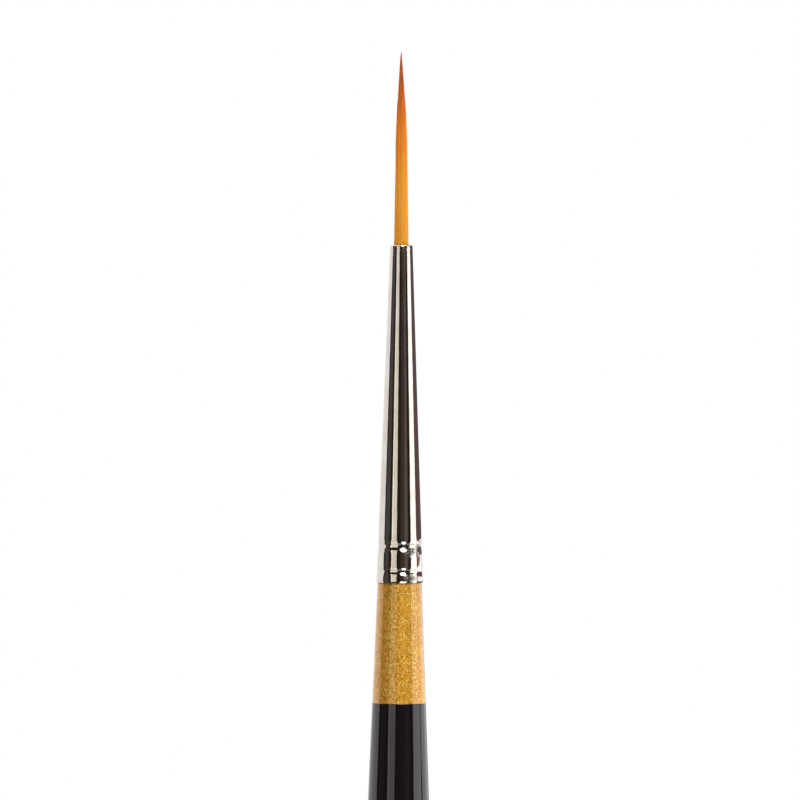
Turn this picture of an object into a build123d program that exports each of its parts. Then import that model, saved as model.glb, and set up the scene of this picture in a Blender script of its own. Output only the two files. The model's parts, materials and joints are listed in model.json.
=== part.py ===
from build123d import *
from math import cos, radians, sin, sqrt, tan
import os

# Fine detail brush, held upright: millimetres, +Z along the brush to the tip of the hair, origin on
# the axis at the widest part of the handle, where it is held. Heights count from the tail, and the
# finished parts are moved down by the height of the grip.

# Overall lengths
HANDLE_LENGTH = 140.0
FERRULE_LENGTH = 29.0
HAIR_OUT = 16.7
GRIP_HEIGHT = 104.0

# Handle: radius over the paint, at each height above the tail
TAIL_RADIUS = 1.45
HANDLE_OUTLINE = (
    (20.0, 1.65),
    (50.0, 2.15),
    (80.0, 2.73),
    (GRIP_HEIGHT, 2.95),
    (121.6, 2.62),
    (130.0, 2.295),
)
SHOULDER_RADIUS = 1.90
SHOULDER_TAPER = 0.04
COAT = 0.10
GOLD_BAND = 10.35

# Ferrule: a swaged cone of thin tube, pressed into the tenon by two rings of jaws
REAR_RADIUS = 2.00
MOUTH_RADIUS = 0.97
REAR_WALL = 0.25
MOUTH_BORE_RADIUS = 0.65
LIP_HEIGHT = 0.16
CRIMP_HEIGHTS = (0.98, 3.13)
CRIMP_WIDTH = 1.30
CRIMP_DEPTH = 0.09
JAWS = 8
JAW_START_DEG = -79.5
PIP_RADIUS = 0.24
PIP_STAND = 0.07

# Joints between handle, ferrule and hair
TENON_LENGTH = 14.0
GLUE_FILM = 0.06
TENON_LEAD_IN = 0.60
ROOT_DEPTH = 9.0
ROOT_GLUE_FROM = 4.0
ROOT_GLUE_TO = 12.0

# Thread wound round the root of the hair
THREAD_TURNS = 6
THREAD_RADIUS = 0.07
THREAD_PITCH = 0.13
THREAD_DEPTH = 7.0

# Hair: radius of the bundle at each height above the mouth of the ferrule
HAIR_OUTLINE = (
    (0.0, 0.636),
    (3.5, 0.590),
    (6.5, 0.532),
    (9.1, 0.508),
    (10.5, 0.440),
    (12.0, 0.375),
    (13.2, 0.280),
    (14.4, 0.205),
    (15.6, 0.125),
    (HAIR_OUT, 0.035),
)
FIRST_BEND = 1.2
BEND_PITCH = 2.2
BENDS = 6
BEND_LIMIT_DEG = 20.0
BEND_CLEARANCE_DEG = 2.0
BEND_GAP = 0.05

# Heights worked out from the lengths
RIM_Z = HANDLE_LENGTH
MOUTH_Z = RIM_Z + FERRULE_LENGTH
GOLD_Z = RIM_Z - GOLD_BAND
BORE_RADIUS = REAR_RADIUS - REAR_WALL
TENON_TOP_Z = RIM_Z + TENON_LENGTH


def turned(edges):
    """A solid of revolution about Z, from the closed outline of half its section."""
    return revolve(make_face(edges), Axis.Z, 360)


def turned_polygon(points):
    """A solid of revolution whose half section has straight sides."""
    return turned(Polyline(*points, close=True))


def turned_sleeve(outside, inside):
    """A sleeve between two sides, each a list of edges from its lower end to its upper end."""
    ends = [Line(outside[0] @ 0, inside[0] @ 0), Line(outside[-1] @ 1, inside[-1] @ 1)]
    return turned([*outside, *inside, *ends])


def point(radius, z):
    """A point of a half section."""
    return (radius, 0, z)


def cone_radius(z, rear, mouth):
    """The radius at height z of a cone that spans the ferrule."""
    return rear + (mouth - rear) * (z - RIM_Z) / FERRULE_LENGTH


def outer_radius(z):
    return cone_radius(z, REAR_RADIUS, MOUTH_RADIUS)


def bore_radius(z):
    return cone_radius(z, BORE_RADIUS, MOUTH_BORE_RADIUS)


def tenon_radius(z):
    return bore_radius(z) - GLUE_FILM


def crimped_line(radius_at, top_z):
    """A cone's side from the rear rim up to top_z, pressed in at each crimp ring."""
    edges = []
    below = RIM_Z
    for height in CRIMP_HEIGHTS:
        middle = RIM_Z + height
        start = middle - CRIMP_WIDTH / 2
        end = middle + CRIMP_WIDTH / 2
        floor = radius_at(middle) - CRIMP_DEPTH
        edges.append(Line(point(radius_at(below), below), point(radius_at(start), start)))
        edges.append(
            ThreePointArc(
                point(radius_at(start), start),
                point(floor, middle),
                point(radius_at(end), end),
            )
        )
        below = end
    edges.append(Line(point(radius_at(below), below), point(radius_at(top_z), top_z)))
    return edges


def handle_side(inset):
    """The side of the handle from its round end to the ferrule, set in from the painted surface."""
    tail = point(TAIL_RADIUS - inset, TAIL_RADIUS)
    middle = [point(radius - inset, z) for z, radius in HANDLE_OUTLINE]
    rim = point(SHOULDER_RADIUS - inset, RIM_Z)
    return Spline(tail, *middle, rim, tangents=[(0, 0, 1), (-SHOULDER_TAPER, 0, 1)])


def tail_arc(inset):
    """The round end of the handle, from the axis out to its side."""
    radius = TAIL_RADIUS - inset
    halfway = radius * sqrt(0.5)
    return ThreePointArc(
        point(0, inset),
        point(halfway, TAIL_RADIUS - halfway),
        point(radius, TAIL_RADIUS),
    )


def handle_core():
    """Turned wood, with the tenon that goes into the ferrule."""
    tail = tail_arc(COAT)
    side = handle_side(COAT)
    tenon = crimped_line(tenon_radius, TENON_TOP_Z - TENON_LEAD_IN)
    end = Polyline(
        tenon[-1] @ 1,
        point(tenon_radius(TENON_TOP_Z) - TENON_LEAD_IN / 2, TENON_TOP_Z),
        point(0, TENON_TOP_Z),
        tail @ 0,
    )
    return turned([tail, side, Line(side @ 1, tenon[0] @ 0), *tenon, *end.edges()])


def coat_parts():
    """The coat of lacquer over the wood: black below, gold in a band below the ferrule."""
    outer = [tail_arc(0), handle_side(0)]
    inner = [tail_arc(COAT), handle_side(COAT)]
    coat = turned_sleeve(outer, inner)
    edge = Plane.XY.offset(GOLD_Z)
    return split(coat, edge, keep=Keep.BOTTOM), split(coat, edge, keep=Keep.TOP)


def pips():
    """The small ridges left standing between the jaws that pressed each ring."""
    for height in CRIMP_HEIGHTS:
        z = RIM_Z + height
        reach = outer_radius(z) - CRIMP_DEPTH + PIP_STAND - PIP_RADIUS
        for jaw in range(JAWS):
            angle = radians(JAW_START_DEG + 360 / JAWS * jaw)
            yield Pos(reach * cos(angle), reach * sin(angle), z) * Sphere(PIP_RADIUS)


def bore_closing(inside):
    """The lines that close the section of the ferrule's bore against the axis."""
    top, bottom = inside[-1] @ 1, inside[0] @ 0
    return Polyline(top, (0, 0, top.Z), (0, 0, bottom.Z), bottom).edges()


def ferrule():
    """A cone of thin metal tube with a rolled mouth, two pressed rings and their pips."""
    lip_z = MOUTH_Z - LIP_HEIGHT
    outside = crimped_line(outer_radius, lip_z)
    inside = crimped_line(bore_radius, lip_z)
    lip = ThreePointArc(
        outside[-1] @ 1,
        point((outer_radius(lip_z) + bore_radius(lip_z)) / 2, MOUTH_Z),
        inside[-1] @ 1,
    )
    tube = turned([*outside, lip, *inside, Line(outside[0] @ 0, inside[0] @ 0)])
    bore = turned([*inside, *bore_closing(inside)])
    for pip in pips():
        tube += pip - bore
    return tube


def handle_glue():
    """The film of glue between the tenon and the ferrule."""
    top_z = TENON_TOP_Z - TENON_LEAD_IN
    outside = crimped_line(bore_radius, top_z)
    inside = crimped_line(tenon_radius, top_z)
    return turned_sleeve(outside, inside)


def thread_section():
    """Half the section of the binding: turns of round thread side by side on a thin base."""
    root = HAIR_OUTLINE[0][1]
    bottom = MOUTH_Z - THREAD_DEPTH
    height = THREAD_PITCH * (THREAD_TURNS - 1)
    base = Plane.XZ * Pos(root + THREAD_RADIUS / 2, bottom + height / 2)
    section = base * Rectangle(THREAD_RADIUS, height)
    for turn in range(THREAD_TURNS):
        at = Plane.XZ * Pos(root + THREAD_RADIUS, bottom + THREAD_PITCH * turn)
        section += at * Circle(THREAD_RADIUS)
    return section


def binding_thread():
    """Thread wound tight round the root of the hair."""
    return revolve(thread_section(), Axis.Z, 360)


def root_glue():
    """The plug of resin that fills the ferrule round the bound root of the hair."""
    top_z = MOUTH_Z - ROOT_GLUE_FROM
    bottom_z = MOUTH_Z - ROOT_GLUE_TO
    plug = turned_polygon(
        [
            point(0, bottom_z),
            point(bore_radius(bottom_z), bottom_z),
            point(bore_radius(top_z), top_z),
            point(0, top_z),
        ]
    )
    return plug - hair_root() - binding_thread()


def hair_radius(height):
    """The radius of the bundle of hair at a height above the mouth of the ferrule."""
    for (low, wide), (high, narrow) in zip(HAIR_OUTLINE, HAIR_OUTLINE[1:]):
        if height <= high:
            return wide + (narrow - wide) * (height - low) / (high - low)
    return HAIR_OUTLINE[-1][1]


def bend_height(number):
    """The height above the mouth at which the hair bends, counted from 0 at the ferrule."""
    return FIRST_BEND + BEND_PITCH * number


def hair_shoulder(number):
    """Radius and height of the shoulder that leaves the hair room to lean over at a bend."""
    pivot = bend_height(number)
    radius = hair_radius(pivot)
    relief = radians(BEND_LIMIT_DEG + BEND_CLEARANCE_DEG)
    return radius, pivot - radius * tan(relief)


def hair_piece(bottom, bottom_radius, bend=None):
    """A length of the bundle from a height up to the relief of a bend, or to the tip."""
    outline = [(bottom, 0), (bottom, bottom_radius)]
    top = HAIR_OUT if bend is None else hair_shoulder(bend)[1]
    outline += [(z, radius) for z, radius in HAIR_OUTLINE if bottom < z < top]
    if bend is None:
        outline += [HAIR_OUTLINE[-1], (HAIR_OUT, 0)]
    else:
        outline += [(top, hair_shoulder(bend)[0]), (bend_height(bend), 0)]
    return turned_polygon([point(radius, MOUTH_Z + z) for z, radius in outline])


def hair_root():
    """The root of the hair, glued into the ferrule and standing just out of its mouth."""
    return hair_piece(-ROOT_DEPTH, HAIR_OUTLINE[0][1], 0)


def hair_lengths():
    """The lengths of hair from bend to bend, the last of them running out to the tip."""
    for number in range(BENDS):
        bottom = bend_height(number) + BEND_GAP
        next_bend = number + 1 if number + 1 < BENDS else None
        yield hair_piece(bottom, hair_radius(bottom), next_bend)


def parts():
    """Every node with its solid."""
    black, gold = coat_parts()
    nodes = {
        "handle_core": handle_core(),
        "black_lacquer": black,
        "gold_lacquer": gold,
        "ferrule": ferrule(),
        "handle_glue": handle_glue(),
        "root_glue": root_glue(),
        "binding_thread": binding_thread(),
        "hair_root": hair_root(),
    }
    for number, length in enumerate(hair_lengths(), start=1):
        nodes[f"hair_length_{number}"] = length
    return nodes


os.makedirs("parts", exist_ok=True)
for name, shape in parts().items():
    export_step(Pos(0, 0, -GRIP_HEIGHT) * shape, f"parts/{name}.step")
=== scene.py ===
import json
import math

import bpy
import numpy as np
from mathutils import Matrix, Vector, noise


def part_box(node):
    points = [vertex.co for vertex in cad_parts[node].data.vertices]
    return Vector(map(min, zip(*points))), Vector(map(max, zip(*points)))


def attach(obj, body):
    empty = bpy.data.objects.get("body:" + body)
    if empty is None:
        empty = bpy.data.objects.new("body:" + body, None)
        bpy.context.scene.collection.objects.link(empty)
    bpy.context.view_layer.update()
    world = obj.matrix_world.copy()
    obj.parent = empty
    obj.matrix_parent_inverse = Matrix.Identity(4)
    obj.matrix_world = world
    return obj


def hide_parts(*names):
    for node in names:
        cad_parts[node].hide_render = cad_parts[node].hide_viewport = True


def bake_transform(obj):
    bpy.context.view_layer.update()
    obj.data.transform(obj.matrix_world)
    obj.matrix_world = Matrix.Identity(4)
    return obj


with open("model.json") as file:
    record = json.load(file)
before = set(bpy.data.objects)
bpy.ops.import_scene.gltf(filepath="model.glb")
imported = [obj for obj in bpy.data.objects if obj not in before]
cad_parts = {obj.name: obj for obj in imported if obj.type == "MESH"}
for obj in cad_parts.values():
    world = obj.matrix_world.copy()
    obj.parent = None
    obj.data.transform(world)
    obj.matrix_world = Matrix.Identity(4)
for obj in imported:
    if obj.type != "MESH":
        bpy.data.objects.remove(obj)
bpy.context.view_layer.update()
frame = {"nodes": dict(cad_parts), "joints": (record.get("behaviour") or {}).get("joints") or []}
MM = 0.001
CLOSE = 0.001 * MM  # heights this close count as the same

# Places from the frame
RIM_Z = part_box("ferrule")[0].z
MOUTH_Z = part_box("ferrule")[1].z
GOLD_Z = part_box("gold_lacquer")[0].z
TAIL_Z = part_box("black_lacquer")[0].z
HAIR_NODES = sorted(n for n in frame["nodes"] if n.startswith("hair_length"))
TIP_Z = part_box(HAIR_NODES[-1])[1].z
BENDS = [joint for joint in frame["joints"] if joint["type"] == "hinge"]
BEND_Z = [joint["pos_m"][2] for joint in BENDS]
BEND_PITCH = BEND_Z[1] - BEND_Z[0]

# View: a level look along +Y at the upper part of the brush
VIEW_CENTRE_Z = RIM_Z + 15.7 * MM
VIEW_HEIGHT = 68.8 * MM
VIEW_SHIFT = -0.043 * MM
VIEW_ROLL = math.radians(-0.29)
LENS = 300.0
SENSOR = 36.0

# Studio: floor, and the tops of the low panels, below the view or level with the crimp rings
FLOOR_RADIUS = 0.5
FLOOR_AROUND = 96
LOW_PANEL_TOP = 12 * MM
RING_PANEL_TOP = RIM_Z + 2.8 * MM

# Edges: sides that meet at a larger angle look sharp, and the middle of a rounded edge stands in
# from the corner by this share of its radius
SHARP_ANGLE = math.radians(50)
EDGE_SHARE = 0.3

# Handle, a turned coat of lacquer in two colours
TAIL_RADIUS = 1.45 * MM
TAIL_ROWS = 20
COAT = 0.10 * MM
PAINT_EDGE = 0.02 * MM
HANDLE_AROUND = 160
HANDLE_ROW = 0.5 * MM
BLACK_INSIDE_STEP = 4
GOLD_INSIDE_STEP = 2
HANDLE_LEAST_OUTWARD = 0.5

# Ferrule: cone, mouth and rear rim
REAR_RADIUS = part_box("ferrule")[1].x
MOUTH_RADIUS = 0.97 * MM
BORE_REAR_RADIUS = 1.75 * MM
BORE_MOUTH_RADIUS = 0.65 * MM
LIP_HEIGHT = 0.075 * MM
LIP_ROWS = 15
RIM_ROUND = 0.05 * MM
RIM_FLARE = 0.055 * MM
FLARE_HEIGHT = 0.12 * MM
WAVES_AROUND = 1.2
WAVE_LENGTH = 5.0 * MM
WAVE_DEPTH = 0.004 * MM

# Crimp rings, each with its height above the rim and its strength
CRIMPS = ((0.98 * MM, 0.72), (3.13 * MM, 1.0))
GROOVE_WIDTH = 0.66 * MM
GROOVE_DEPTH = 0.046 * MM
PIP_WIDTH = 1.14 * MM
PIP_SPREAD = math.radians(11)
FACET_WIDTH = 1.40 * MM
FACET_DEPTH = 0.045 * MM
RIDGE_ROUND = 0.12
JAWS = 8
JAW_START = math.radians(-79.5)

# Worn plating: patches at an angle and a height above the rim, and a little all round the mouth
WORN_PATCHES = (
    (math.radians(-60), 0.43 * MM),
    (math.radians(-60), 2.62 * MM),
    (math.radians(-29), 3.15 * MM),
)
WORN_ANGLE = math.radians(17)
WORN_HEIGHT = 0.38 * MM
MOUTH_WEAR = 0.22
MOUTH_WEAR_HEIGHT = 1.0 * MM

# Ferrule mesh: fine rows over the crimps and at the lip, long ones between
FERRULE_AROUND = 288
CRIMPED_HEIGHT = 4.4 * MM
LIP_ZONE = 1.5 * MM
FINE_ROW = 0.045 * MM
PLAIN_ROW = 0.25 * MM
BORE_FINE_ROW = 0.15 * MM
BORE_PLAIN_ROW = 1.0 * MM

# Hair: the strands and how they stand in the tuft
HAIR_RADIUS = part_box("hair_root")[1].x
HAIR_LEAST_OUTWARD = 0.7
STRAND_RADIUS = 0.044 * MM
STRAND_SIDES = 7
STRAND_PITCH = 2.06 * STRAND_RADIUS
SEAT_SCATTER = 0.1
STRAND_TAPER = 6.5 * MM
TAPER_POWER = 0.8
FINE_POINT = 0.016 * MM
LAST_ROW_GAP = 0.05 * MM
TIP_SCATTER = 0.12 * MM
TIP_SPREAD = 4.2 * MM
TIP_LEAN = -0.10 * MM
LEAST_FILLED = 0.18
DRIFT = 0.006 * MM
DRIFT_WAVE = 5.0 * MM
DRIFT_RISE = 3.0 * MM
ROOT_ROWS = 6
ROWS_PER_BEND = 9

rng = np.random.default_rng(11)


# ---- shapes ----


def outline(node, least_outward):
    """Heights and radii of the side of a turned CAD node.

    The side is where the normal's outward part is more than least_outward."""
    rows = {}
    for vertex in frame["nodes"][node].data.vertices:
        across = Vector((vertex.co.x, vertex.co.y, 0))
        if across.length > 0 and vertex.normal.dot(across) > least_outward * across.length:
            rows[round(vertex.co.z, 6)] = across.length
    heights = np.array(sorted(rows))
    return heights, np.array([rows[z] for z in heights])


def smooth_curve(x, y):
    """A natural cubic spline through the points, as a function of x."""
    step = np.diff(x)
    slope = np.diff(y) / step
    size = len(x)
    matrix = np.eye(size)
    right = np.zeros(size)
    for i in range(1, size - 1):
        matrix[i, i - 1 : i + 2] = step[i - 1], 2 * (step[i - 1] + step[i]), step[i]
        right[i] = 3 * (slope[i] - slope[i - 1])
    bend = np.linalg.solve(matrix, right)

    def curve(at):
        i = np.clip(np.searchsorted(x, at) - 1, 0, size - 2)
        t = at - x[i]
        first = slope[i] - step[i] * (2 * bend[i] + bend[i + 1]) / 3
        third = (bend[i + 1] - bend[i]) / (3 * step[i])
        return y[i] + t * (first + t * (bend[i] + t * third))

    return curve


def new_piece(name, vertices, faces, material):
    """A mesh piece of one material, with smooth sides and crisp edges."""
    mesh = bpy.data.meshes.new(name)
    mesh.from_pydata(vertices, [], faces)
    mesh.polygons.foreach_set("use_smooth", [True] * len(faces))
    mesh.set_sharp_from_angle(angle=SHARP_ANGLE)
    mesh.update()
    mesh.materials.append(material)
    piece = bpy.data.objects.new(name, mesh)
    bpy.context.scene.collection.objects.link(piece)
    return piece


def point_values(piece, label, values):
    """One value for each vertex of the piece, for its material to read."""
    attribute = piece.data.attributes.new(label, "FLOAT", "POINT")
    attribute.data.foreach_set("value", values)


def lathe(profile, around, shape=None):
    """Vertices and faces turned from a closed profile of (radius, height) points.

    A point on the axis becomes a pole. shape(radius, height, angle) may change the radius."""
    vertices, faces, rings = [], [], []
    for radius, height in profile:
        if radius <= 0:
            rings.append([len(vertices)])
            vertices.append((0, 0, height))
            continue
        rings.append(range(len(vertices), len(vertices) + around))
        for k in range(around):
            angle = 2 * math.pi * k / around
            r = shape(radius, height, angle) if shape else radius
            vertices.append((r * math.cos(angle), r * math.sin(angle), height))
    pairs = list(zip(rings, rings[1:]))
    if len(rings[0]) > 1:
        pairs.append((rings[-1], rings[0]))
    for low, high in pairs:
        for k in range(around):
            n = (k + 1) % around
            if len(low) == 1:
                faces.append((low[0], high[n], high[k]))
            elif len(high) == 1:
                faces.append((low[k], low[n], high[0]))
            else:
                faces.append((low[k], low[n], high[n], high[k]))
    return vertices, faces


def rows_between(start, end, longest):
    """Evenly spaced heights from start to end, both included."""
    count = max(1, math.ceil(abs(end - start) / longest))
    return np.linspace(start, end, count + 1)


# ---- handle ----


def tail_profile(inset):
    """The round end of the handle, from the pole to where its side begins."""
    radius = TAIL_RADIUS - inset
    centre = TAIL_Z + TAIL_RADIUS
    angles = np.linspace(0, math.pi / 2, TAIL_ROWS)
    return [(0 if a == 0 else radius * math.sin(a), centre - radius * math.cos(a)) for a in angles]


def handle_curve(node):
    """The radius of the handle's painted side at a height, smooth through the CAD rows."""
    heights, radii = outline(node, HANDLE_LEAST_OUTWARD)
    side = heights > TAIL_Z + TAIL_RADIUS - CLOSE
    heights, radii = heights[side], radii[side]
    keep = [0]
    for i in range(1, len(heights)):
        if heights[i] - heights[keep[-1]] > HANDLE_ROW:
            keep.append(i)
    return smooth_curve(heights[keep], radii[keep])


def make_black_lacquer(material):
    """The black coat over the round end and the side, up to a rounded edge at the gold."""
    radius = handle_curve("black_lacquer")
    side_z = rows_between(TAIL_Z + TAIL_RADIUS, GOLD_Z - 2 * PAINT_EDGE, HANDLE_ROW)[1:]
    side_z = [*side_z, GOLD_Z - PAINT_EDGE]
    outside = tail_profile(0) + [(radius(z), z) for z in side_z]
    rim = radius(GOLD_Z)
    edge = [
        (rim - EDGE_SHARE * PAINT_EDGE, GOLD_Z - EDGE_SHARE * PAINT_EDGE),
        (rim - PAINT_EDGE, GOLD_Z),
    ]
    inside = [(radius(z) - COAT, z) for z in [GOLD_Z, *side_z[::-BLACK_INSIDE_STEP]]]
    profile = outside + edge + inside + tail_profile(COAT)[::-1]
    vertices, faces = lathe(profile, HANDLE_AROUND)
    piece = new_piece("black_lacquer_coat", vertices, faces, material)
    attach(piece, "handle")
    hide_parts("black_lacquer")


def make_gold_lacquer(material):
    """The gold coat from the black up to the ferrule."""
    radius = handle_curve("gold_lacquer")
    side_z = rows_between(GOLD_Z, RIM_Z, HANDLE_ROW)
    outside = [(radius(z), z) for z in side_z]
    inside = [(radius(z) - COAT, z) for z in side_z[::-GOLD_INSIDE_STEP]]
    vertices, faces = lathe(outside + inside, HANDLE_AROUND)
    piece = new_piece("gold_lacquer_band", vertices, faces, material)
    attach(piece, "handle")
    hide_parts("gold_lacquer")


# ---- ferrule ----


def cone_radius(z, rear, mouth):
    """The radius at height z of a cone that spans the ferrule."""
    return rear + (mouth - rear) * (z - RIM_Z) / (MOUTH_Z - RIM_Z)


def outer_radius(z):
    return cone_radius(z, REAR_RADIUS, MOUTH_RADIUS)


def bore_radius(z):
    return cone_radius(z, BORE_REAR_RADIUS, BORE_MOUTH_RADIUS)


def lobe(t):
    """A smooth dent: 1 in the middle, 0 from t = 1 outwards."""
    return (1 - t * t) ** 2 if abs(t) < 1 else 0.0


def from_pip(angle):
    """The angle to the nearest ridge between two jaws of the crimping tool."""
    pitch = 2 * math.pi / JAWS
    return (angle - JAW_START + pitch / 2) % pitch - pitch / 2


def crimp_dent(height, angle):
    """How far the jaws press the tube in.

    They leave flats between the ridges, and a groove that is wider at each ridge."""
    off = from_pip(angle)
    part = math.hypot(off * JAWS / math.pi, RIDGE_ROUND) - RIDGE_ROUND
    flat = FACET_DEPTH * (2 * part - part * part)
    near = max(0.0, 1 - abs(off) / PIP_SPREAD)
    half = (GROOVE_WIDTH + (PIP_WIDTH - GROOVE_WIDTH) * near) / 2
    dent = 0.0
    for ring, size in CRIMPS:
        up = (height - RIM_Z - ring) / size
        dent += size * (flat * lobe(up / (FACET_WIDTH / 2)) + GROOVE_DEPTH * lobe(up / half))
    return dent


def worn_plating(height, angle):
    """How worn the plating is, 0 to 1: in patches by the crimp rings, and a little at the mouth."""
    wear = MOUTH_WEAR * math.exp(-(((MOUTH_Z - height) / MOUTH_WEAR_HEIGHT) ** 2))
    for patch_angle, patch_height in WORN_PATCHES:
        across = (angle - patch_angle) / WORN_ANGLE
        up = (height - RIM_Z - patch_height) / WORN_HEIGHT
        wear += math.exp(-across * across - up * up)
    return min(1.0, wear)


def waviness(height, angle):
    """The slight long waves of drawn tube."""
    x, y = WAVES_AROUND * math.cos(angle), WAVES_AROUND * math.sin(angle)
    return WAVE_DEPTH * noise.noise(Vector((x, y, height / WAVE_LENGTH)))


def tube_shape(radius, height, angle):
    """The radius of the plain cone, changed by the crimps, the flare at the rim and the waves."""
    flare = max(0.0, 1 - (height - RIM_Z) / FLARE_HEIGHT) ** 2 * RIM_FLARE
    return radius - crimp_dent(height, angle) + flare + waviness(height, angle)


def ferrule_profile():
    """The section of the tube: rounded rear rim, outer side, rolled lip and bore."""
    crimped_z = RIM_Z + CRIMPED_HEIGHT
    lip_z = MOUTH_Z - LIP_HEIGHT
    plain_z = lip_z - LIP_ZONE
    rim = [
        (outer_radius(RIM_Z) - RIM_ROUND, RIM_Z),
        (outer_radius(RIM_Z) - EDGE_SHARE * RIM_ROUND, RIM_Z + EDGE_SHARE * RIM_ROUND),
    ]
    side_z = [
        *rows_between(RIM_Z + RIM_ROUND, crimped_z, FINE_ROW),
        *rows_between(crimped_z, plain_z, PLAIN_ROW)[1:],
        *rows_between(plain_z, lip_z, FINE_ROW)[1:],
    ]
    middle = (outer_radius(lip_z) + bore_radius(lip_z)) / 2
    half = (outer_radius(lip_z) - bore_radius(lip_z)) / 2
    lip = [
        (middle + half * math.cos(a), lip_z + LIP_HEIGHT * math.sin(a))
        for a in np.linspace(0, math.pi, LIP_ROWS)[1:-1]
    ]
    bore_z = [
        *rows_between(lip_z, crimped_z, BORE_PLAIN_ROW),
        *rows_between(crimped_z, RIM_Z, BORE_FINE_ROW)[1:],
    ]
    side = [(outer_radius(z), z) for z in side_z]
    return rim + side + lip + [(bore_radius(z), z) for z in bore_z]


def make_ferrule(material):
    """The plated tube, with how worn it is at each vertex."""
    vertices, faces = lathe(ferrule_profile(), FERRULE_AROUND, tube_shape)
    piece = new_piece("ferrule_tube", vertices, faces, material)
    point_values(piece, "worn", [worn_plating(z, math.atan2(y, x)) for x, y, z in vertices])
    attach(piece, "handle")
    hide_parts("ferrule")


# ---- hair ----


def hair_envelope():
    """The radius of the bundle at a height, through the CAD nodes' sides."""
    heights, radii = [], []
    for node in ["hair_root", *HAIR_NODES]:
        z, r = outline(node, HAIR_LEAST_OUTWARD)
        heights += list(z)
        radii += list(r)
    order = np.argsort(heights)
    heights, radii = np.array(heights)[order], np.array(radii)[order]
    return lambda z: float(np.interp(z, heights, radii))


def strand_seats():
    """Where the strands stand in a bundle of radius 1: hexagonal packing, slightly uneven."""
    pitch = STRAND_PITCH / HAIR_RADIUS
    rows = math.ceil(1 / pitch) + 1
    seats = []
    for row in range(-rows, rows + 1):
        for column in range(-rows, rows + 1):
            x = pitch * (column + 0.5 * (row % 2))
            y = pitch * row * math.sqrt(3) / 2
            if math.hypot(x, y) < 1:
                seats.append((x, y))
    scatter = rng.uniform(-SEAT_SCATTER, SEAT_SCATTER, (len(seats), 2)) * pitch
    seats = np.array(seats) + scatter
    return seats / np.hypot(*seats.T).max()


def strand_rings(seat, envelope, rows):
    """Centre, height and radius of one strand at every row that it reaches, and at its fine point.

    The outer strands end lower. The others spread out as the bundle narrows, to keep it filled."""
    out = math.hypot(*seat)
    end = TIP_Z - TIP_SPREAD * out * out - rng.uniform(0, TIP_SCATTER)
    drift = rng.uniform(-1, 1, 2) * DRIFT
    phase = rng.uniform(0, 2 * math.pi)
    rings = []
    for z in [*(z for z in rows if z < end - LAST_ROW_GAP), end]:
        left = max(0.0, (end - z) / STRAND_TAPER)
        radius = max(STRAND_RADIUS * min(1.0, left) ** TAPER_POWER, FINE_POINT)
        filled = min(1.0, max(LEAST_FILLED, math.sqrt(max(0.0, TIP_Z - z) / TIP_SPREAD)))
        x, y = seat * (envelope(z) - radius) / max(filled, out)
        free = max(0.0, z - MOUTH_Z)
        wave = math.sin(free / DRIFT_WAVE + phase) * min(1.0, free / DRIFT_RISE)
        lean = TIP_LEAN * (free / (TIP_Z - MOUTH_Z)) ** 2
        rings.append((x + drift[0] * wave + lean, y + drift[1] * wave, z, radius))
    return rings


def strand_mesh(rings, vertices, faces):
    """Adds one closed tube along the rings to the lists."""
    first = len(vertices)
    sides = STRAND_SIDES
    for x, y, z, radius in rings:
        for k in range(sides):
            angle = 2 * math.pi * k / sides
            vertices.append((x + radius * math.cos(angle), y + radius * math.sin(angle), z))
    for ring in range(len(rings) - 1):
        low = first + ring * sides
        high = low + sides
        for k in range(sides):
            n = (k + 1) % sides
            faces.append((low + k, low + n, high + n, high + k))
    faces.append(tuple(range(first + sides - 1, first - 1, -1)))
    last = first + (len(rings) - 1) * sides
    faces.append(tuple(range(last, last + sides)))


def strand_rows():
    """The heights of the strands' rings, close together over each bend."""
    half = BEND_PITCH / 2
    rows = list(np.linspace(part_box("hair_root")[0].z, BEND_Z[0] - half, ROOT_ROWS))
    for bend in BEND_Z:
        rows += list(np.linspace(bend - half, bend + half, ROWS_PER_BEND))[1:]
    return rows + list(rows_between(BEND_Z[-1] + half, TIP_Z, BEND_PITCH / (ROWS_PER_BEND - 1)))[1:]


def make_hair(material):
    """The tuft, strand by strand, in one piece for each bend, so that each piece spans one joint."""
    envelope = hair_envelope()
    half = BEND_PITCH / 2
    cuts = [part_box("hair_root")[0].z, *[z + half for z in BEND_Z[:-1]], TIP_Z]
    rows = strand_rows()
    strands = [strand_rings(seat, envelope, rows) for seat in strand_seats()]
    tones = rng.uniform(0, 1, len(strands))
    for number, (joint, low, high) in enumerate(zip(BENDS, cuts, cuts[1:])):
        vertices, faces, tone_values = [], [], []
        for rings, tone in zip(strands, tones):
            here = [ring for ring in rings if low - CLOSE <= ring[2] <= high + CLOSE]
            if len(here) > 1:
                strand_mesh(here, vertices, faces)
                tone_values += [tone] * (len(here) * STRAND_SIDES)
        piece = new_piece(f"hair_strands_{number + 1}", vertices, faces, material)
        point_values(piece, "along", [(z - MOUTH_Z) / (TIP_Z - MOUTH_Z) for x, y, z in vertices])
        point_values(piece, "tone", tone_values)
        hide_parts(HAIR_NODES[number])
        if number == 0:
            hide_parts("hair_root")
        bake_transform(piece)


# ---- materials ----


def new_material(name, **sockets):
    """A material with one Principled shader and its constants, as (material, node tree, shader)."""
    material = bpy.data.materials.new(name)
    material.use_nodes = True
    tree = material.node_tree
    shader = tree.nodes["Principled BSDF"]
    for label, value in sockets.items():
        shader.inputs[label.replace("_", " ")].default_value = value
    return material, tree, shader


def connect(tree, shader, **sockets):
    """Links outputs of other nodes to the shader's sockets."""
    for label, output in sockets.items():
        tree.links.new(output, shader.inputs[label.replace("_", " ")])


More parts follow.
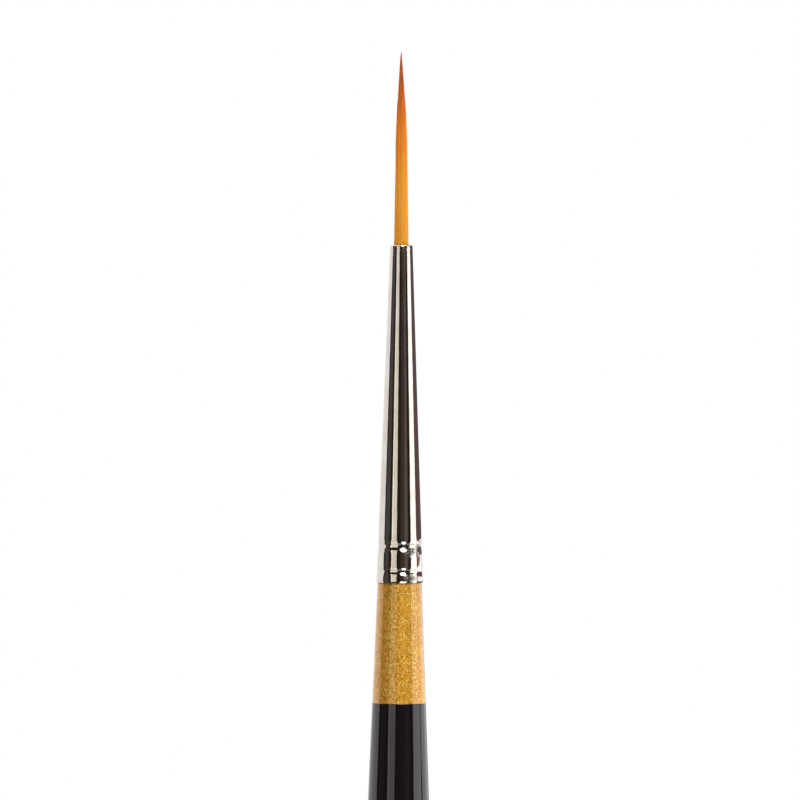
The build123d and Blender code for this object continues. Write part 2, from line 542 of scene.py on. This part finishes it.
def add(tree, kind, inputs=None, **settings):
    """A node with its settings, and its inputs set to values or linked to sockets."""
    node = tree.nodes.new(kind)
    for label, value in settings.items():
        setattr(node, label, value)
    for label, value in (inputs or {}).items():
        if isinstance(value, bpy.types.NodeSocket):
            tree.links.new(value, node.inputs[label])
        else:
            node.inputs[label].default_value = value
    return node


def value_math(tree, operation, *inputs):
    """Arithmetic on single values."""
    return add(tree, "ShaderNodeMath", dict(enumerate(inputs)), operation=operation).outputs[0]


def vector_math(tree, operation, *inputs):
    """Arithmetic on colours or directions."""
    return add(tree, "ShaderNodeVectorMath", dict(enumerate(inputs)), operation=operation).outputs[0]


def place(tree, size):
    """Object coordinates counted in steps of a size, one number or one for each axis."""
    steps = size if hasattr(size, "__len__") else (size, size, size)
    coordinates = add(tree, "ShaderNodeTexCoord").outputs["Object"]
    mapping = add(tree, "ShaderNodeMapping", {"Vector": coordinates})
    mapping.inputs["Scale"].default_value = [1 / s for s in steps]
    return mapping.outputs["Vector"]


def upright_size(across, tall):
    """A size for features that are drawn out along the brush."""
    return across, across, tall


def grain(tree, size, detail=2.0):
    """Noise whose features have about that size, from 0 to 1."""
    inputs = {"Vector": place(tree, size), "Scale": 1.0, "Detail": detail}
    return add(tree, "ShaderNodeTexNoise", inputs).outputs["Fac"]


def cells(tree, size):
    """A node that splits space into cells of about that size."""
    return add(tree, "ShaderNodeTexVoronoi", {"Vector": place(tree, size), "Scale": 1.0})


def spread(tree, value, low, high, start=0.0, end=1.0):
    """A value taken from the range start to end into the range low to high."""
    inputs = {"Value": value, "From Min": start, "From Max": end, "To Min": low, "To Max": high}
    return add(tree, "ShaderNodeMapRange", inputs).outputs["Result"]


def ramp(tree, value, *stops):
    """A colour ramp through (position, (r, g, b)) stops."""
    node = add(tree, "ShaderNodeValToRGB", {"Fac": value})
    elements = node.color_ramp.elements
    while len(elements) < len(stops):
        elements.new(0.5)
    for element, (position, colour) in zip(elements, stops):
        element.position = position
        element.color = (*colour, 1)
    return node.outputs["Color"]


def relief(tree, height, depth, below=None):
    """A normal raised by a height from 0 to 1 times a depth in metres, on top of the relief below."""
    inputs = {"Height": height, "Distance": depth, "Strength": 1.0}
    if below:
        inputs["Normal"] = below
    return add(tree, "ShaderNodeBump", inputs).outputs["Normal"]


def linear(*srgb):
    """Scene colour for an 8-bit display colour."""
    return tuple(((c / 255 + 0.055) / 1.055) ** 2.4 if c > 10 else c / 255 / 12.92 for c in srgb)


def nickel_plate():
    """Bright drawn plating, beaten and tarnished where it is worn."""
    material, tree, shader = new_material("polished_nickel", Metallic=1.0)
    cloud = grain(tree, 1.5 * MM)
    bright = ramp(tree, cloud, (0.3, linear(206, 198, 190)), (0.7, linear(220, 214, 207)))
    worn = add(tree, "ShaderNodeAttribute", attribute_name="worn").outputs["Fac"]
    beaten = value_math(tree, "MULTIPLY", grain(tree, 0.16 * MM), worn)
    tarnish = spread(tree, beaten, low=1.0, high=0.12, start=0.22, end=0.55)
    streaks = grain(tree, upright_size(0.05 * MM, 3.0 * MM), detail=3.0)
    polish = spread(tree, streaks, low=0.02, high=0.09, start=0.3, end=0.8)
    matt = spread(tree, worn, low=0.0, high=0.20)
    drawn = relief(tree, streaks, depth=0.0006 * MM)
    pit = spread(tree, cells(tree, 0.9 * MM).outputs["Distance"], low=0.0, high=1.0, start=0.03, end=0.07)
    pitted = relief(tree, pit, depth=0.0015 * MM, below=drawn)
    connect(
        tree,
        shader,
        Base_Color=vector_math(tree, "MULTIPLY", bright, tarnish),
        Roughness=value_math(tree, "ADD", polish, matt),
        Normal=relief(tree, beaten, depth=0.045 * MM, below=pitted),
    )
    return material


def gold_flake():
    """Gold flakes, each with its own shade and tilt, under clear lacquer, with a painted contact shadow
    just below the ferrule.
    """
    material, tree, shader = new_material(
        "gold_flake_lacquer", Metallic=0.85, Coat_Weight=1.0, Coat_Roughness=0.03, Coat_IOR=1.6
    )
    flakes = cells(tree, 0.065 * MM).outputs["Color"]
    split = add(tree, "ShaderNodeSeparateColor", {"Color": flakes})
    cloud = spread(tree, grain(tree, 0.5 * MM), low=-0.12, high=0.12)
    flake = ramp(
        tree,
        value_math(tree, "ADD", split.outputs["Red"], cloud),
        (0.0, linear(163, 103, 17)),
        (0.5, linear(213, 153, 45)),
        (0.85, linear(235, 181, 64)),
        (1.0, linear(255, 230, 134)),
    )
    height = add(tree, "ShaderNodeSeparateXYZ", {"Vector": place(tree, MM)}).outputs["Z"]
    rim = RIM_Z / MM
    # Painted shadow: the gold's colour drops to 0.45 over the last 0.1 mm below the ferrule rim, standing
    # in for the shade under the rim
    painted_rim_shadow = spread(tree, height, low=1.0, high=0.45, start=rim - 0.16, end=rim - 0.06)
    tilt = vector_math(tree, "SUBTRACT", flakes, (0.5, 0.5, 0.5))
    turn = vector_math(tree, "MULTIPLY", tilt, (0.30, 0.30, 0.30))
    normal = add(tree, "ShaderNodeNewGeometry").outputs["Normal"]
    leaning = vector_math(tree, "ADD", normal, turn)
    connect(
        tree,
        shader,
        Base_Color=vector_math(tree, "MULTIPLY", flake, painted_rim_shadow),
        Roughness=spread(tree, split.outputs["Green"], low=0.42, high=0.60),
        Normal=vector_math(tree, "NORMALIZE", leaning),
        Coat_Normal=relief(tree, grain(tree, 1.6 * MM, detail=1.0), depth=0.004 * MM),
    )
    return material


def black_gloss():
    """Black lacquer with a slight upright waviness, haze and a few specks of dust."""
    material, tree, shader = new_material("black_gloss_lacquer", IOR=1.62)
    specks = cells(tree, 3.0 * MM).outputs["Distance"]
    dust = spread(tree, specks, low=1.0, high=0.0, start=0.018, end=0.035)
    haze = grain(tree, upright_size(0.6 * MM, 6.0 * MM), detail=3.0)
    broad = grain(tree, upright_size(1.3 * MM, 24.0 * MM), detail=1.0)
    fine = grain(tree, upright_size(0.4 * MM, 5.0 * MM), detail=1.0)
    peel = relief(tree, fine, depth=0.003 * MM, below=relief(tree, broad, depth=0.020 * MM))
    connect(
        tree,
        shader,
        Base_Color=ramp(tree, dust, (0.0, linear(17, 13, 17)), (1.0, linear(120, 116, 118))),
        Roughness=spread(tree, haze, low=0.015, high=0.06, start=0.4, end=0.75),
        Normal=relief(tree, dust, depth=0.01 * MM, below=peel),
    )
    return material


def golden_filament():
    """Golden filament that turns red brown towards the tip, each strand a little lighter or darker."""
    material, tree, shader = new_material(
        "golden_filament", Roughness=0.42, IOR=1.42, Subsurface_Weight=0.25, Subsurface_Scale=0.2 * MM
    )
    along = add(tree, "ShaderNodeAttribute", attribute_name="along").outputs["Fac"]
    tone = add(tree, "ShaderNodeAttribute", attribute_name="tone").outputs["Fac"]
    colour = ramp(
        tree,
        along,
        (0.0, linear(222, 154, 40)),
        (0.2, linear(230, 156, 44)),
        (0.45, linear(228, 144, 34)),
        (0.60, linear(236, 136, 28)),
        (0.72, linear(224, 116, 22)),
        (0.84, linear(186, 92, 18)),
        (1.0, linear(160, 80, 34)),
    )
    shade = spread(tree, tone, low=0.80, high=1.14)
    ribs = grain(tree, upright_size(0.03 * MM, 2.0 * MM))
    connect(
        tree,
        shader,
        Base_Color=vector_math(tree, "MULTIPLY", colour, shade),
        Normal=relief(tree, ribs, depth=0.0005 * MM),
    )
    return material


def turned_wood():
    """Pale wood with fine upright fibres."""
    material, tree, shader = new_material("turned_wood", Roughness=0.6)
    fibres = grain(tree, upright_size(0.25 * MM, 6.0 * MM), detail=4.0)
    connect(
        tree,
        shader,
        Base_Color=ramp(tree, fibres, (0.3, linear(196, 160, 116)), (0.7, linear(226, 196, 152))),
        Normal=relief(tree, fibres, depth=0.01 * MM),
    )
    return material


def cured_resin():
    """Cloudy amber resin."""
    material, tree, shader = new_material("cured_resin", IOR=1.55)
    cloud = grain(tree, 0.6 * MM)
    connect(
        tree,
        shader,
        Base_Color=ramp(tree, cloud, (0.3, linear(196, 160, 92)), (0.7, linear(222, 190, 124))),
        Roughness=spread(tree, cloud, low=0.15, high=0.35),
    )
    return material


def waxed_thread():
    """Pale thread with slanting plies."""
    material, tree, shader = new_material("waxed_thread", Roughness=0.55, Sheen_Weight=0.3)
    inputs = {"Vector": place(tree, 0.05 * MM), "Scale": 0.6, "Distortion": 1.5}
    plies = add(tree, "ShaderNodeTexWave", inputs, bands_direction="DIAGONAL").outputs["Fac"]
    connect(
        tree,
        shader,
        Base_Color=ramp(tree, plies, (0.0, linear(196, 188, 168)), (1.0, linear(236, 230, 214))),
        Normal=relief(tree, plies, depth=0.008 * MM),
    )
    return material


def pale_floor():
    """Pale to the eye and dimmer in reflections, so that black lacquer over it stays black."""
    material, tree, shader = new_material("pale_floor", Roughness=0.7)
    speckle = grain(tree, 4.0 * MM, detail=4.0)
    pale = ramp(tree, speckle, (0.3, linear(236, 235, 233)), (0.7, linear(243, 242, 240)))
    mirrored = add(tree, "ShaderNodeLightPath").outputs["Is Glossy Ray"]
    strength = spread(tree, mirrored, low=1.0, high=0.15)
    connect(tree, shader, Base_Color=vector_math(tree, "MULTIPLY", pale, strength))
    return material


# ---- studio ----


def make_camera():
    data = bpy.data.cameras.new("camera")
    data.lens = LENS
    data.sensor_width = SENSOR
    data.clip_start = 0.01
    data.clip_end = 20.0
    camera = bpy.data.objects.new("camera", data)
    camera.location = (VIEW_SHIFT, -VIEW_HEIGHT * LENS / SENSOR, VIEW_CENTRE_Z)
    camera.rotation_euler = (math.pi / 2, VIEW_ROLL, 0)
    bpy.context.scene.collection.objects.link(camera)
    bpy.context.scene.camera = camera


def direction(azimuth, elevation):
    """The way from the brush at an azimuth in degrees, 0 towards the camera and 90 to its right."""
    a, e = math.radians(azimuth), math.radians(elevation)
    return Vector((math.sin(a) * math.cos(e), -math.cos(a) * math.cos(e), math.sin(e)))


def add_light(name, location, back, width, height, radiance, colour):
    """A flat light of even brightness that shines away from the direction back."""
    data = bpy.data.lights.new(name, "AREA")
    data.shape = "RECTANGLE"
    data.size, data.size_y = width, height
    data.energy = 4 * width * height * radiance  # in watts, four to a square metre of radiance 1
    data.color = colour
    light = bpy.data.objects.new(name, data)
    light.location = location
    light.rotation_mode = "QUATERNION"
    light.rotation_quaternion = back.to_track_quat("Z", "Y")
    light.visible_camera = False
    bpy.context.scene.collection.objects.link(light)


def upright(name, start, end, distance, low, high, radiance, colour=(1, 1, 1)):
    """An upright softbox from one azimuth to another, with its lower and upper edge in metres."""
    back = direction((start + end) / 2, 0)
    width = 2 * distance * math.tan(math.radians(end - start) / 2)
    location = back * distance + Vector((0, 0, (low + high) / 2))
    add_light(name, location, back, width, high - low, radiance, colour)


def overhead(name, azimuth, elevation, distance, width, height, radiance, colour=(1, 1, 1)):
    """A softbox above the brush that looks down at it."""
    back = direction(azimuth, elevation)
    location = Vector((0, 0, VIEW_CENTRE_Z)) + back * distance
    add_light(name, location, back, width, height, radiance, colour)


def make_lights():
    """The softboxes that nickel and lacquer reflect as bands, and the lights above them."""
    # Name, start and end azimuth, distance, lower and upper edge, radiance, colour
    upright("backdrop", -180, -92, 1.2, -0.60, 1.6, 0.80)
    upright("left_fill", -84, -58, 1.1, -0.8, 0.8, 0.045)
    upright("left_strip", -43, -16, 1.0, -0.28, 0.36, 0.72, (1.0, 0.96, 0.87))
    upright("left_strip_edge", -44, -38, 0.98, -0.28, 0.36, 0.35, (1.0, 0.98, 0.94))
    upright("front_fill", 4, 44, 1.0, -0.08, 0.25, 0.022, (1.0, 0.85, 0.78))
    upright("front_fill_edge", 25, 44, 0.95, -0.08, 0.25, 0.050, (1.0, 0.92, 0.88))
    upright("front_bounce", 10, 33, 1.0, -0.55, -0.12, 1.6)
    upright("right_softbox", 61, 98, 1.0, -0.5, 0.5, 1.28)
    upright("right_wall", 102, 178, 1.3, -0.8, 1.0, 0.09, (1.0, 0.66, 0.70))
    upright("rear_bounce", 102, 178, 1.2, -0.60, -0.10, 1.0)
    # The same, for low panels that show in the rings' undersides and in views from above
    upright("low_left", -43, -16, 0.16, TAIL_Z, LOW_PANEL_TOP, 0.55, (1.0, 0.96, 0.87))
    upright("low_front", 61, 98, 0.16, TAIL_Z, LOW_PANEL_TOP, 0.55)
    upright("low_right", 102, 152, 0.10, TAIL_Z, RING_PANEL_TOP, 1.0)
    upright("low_right_rear", 152, 180, 0.10, TAIL_Z, RING_PANEL_TOP, 0.40)
    # Name, azimuth, elevation, distance, width, height, radiance, colour
    overhead("key", 17, 31, 1.2, 0.56, 0.92, 3.1)
    overhead("right_key", 46, 54, 1.2, 0.9, 0.7, 2.4)
    overhead("left_key", -85, 50, 1.2, 1.0, 0.7, 0.9, (1.0, 0.74, 0.42))
    overhead("top", 0, 89, 1.2, 1.6, 1.6, 1.5)


def make_world():
    """A white surround for the camera's eye, and a dim studio for light and reflections."""
    world = bpy.data.worlds.new("studio")
    bpy.context.scene.world = world
    world.use_nodes = True
    tree = world.node_tree
    tree.nodes.clear()
    dim = add(tree, "ShaderNodeBackground", {"Color": (*linear(44, 37, 34), 1), "Strength": 1.0})
    white = add(tree, "ShaderNodeBackground", {"Color": (1, 1, 1, 1), "Strength": 1.0})
    seen = add(tree, "ShaderNodeLightPath").outputs["Is Camera Ray"]
    mixed = add(tree, "ShaderNodeMixShader", {0: seen, 1: dim.outputs[0], 2: white.outputs[0]})
    output = add(tree, "ShaderNodeOutputWorld")
    tree.links.new(mixed.outputs[0], output.inputs["Surface"])


def make_floor(material):
    """A round pale floor under the end of the handle."""
    rim = []
    for k in range(FLOOR_AROUND):
        angle = 2 * math.pi * k / FLOOR_AROUND
        rim.append((FLOOR_RADIUS * math.cos(angle), FLOOR_RADIUS * math.sin(angle), TAIL_Z))
    mesh = bpy.data.meshes.new("floor")
    mesh.from_pydata(rim, [], [range(FLOOR_AROUND)])
    floor = bpy.data.objects.new("floor", mesh)
    mesh.materials.append(material)
    bpy.context.scene.collection.objects.link(floor)


make_camera()
bpy.context.scene.view_settings.view_transform = "Standard"
make_world()
make_lights()
make_floor(pale_floor())

make_black_lacquer(black_gloss())
make_gold_lacquer(gold_flake())
make_ferrule(nickel_plate())
make_hair(golden_filament())
for node, finish in {
    "handle_core": turned_wood(),
    "handle_glue": cured_resin(),
    "root_glue": cured_resin(),
    "binding_thread": waxed_thread(),
}.items():
    frame["nodes"][node].data.materials.clear()
    frame["nodes"][node].data.materials.append(finish)
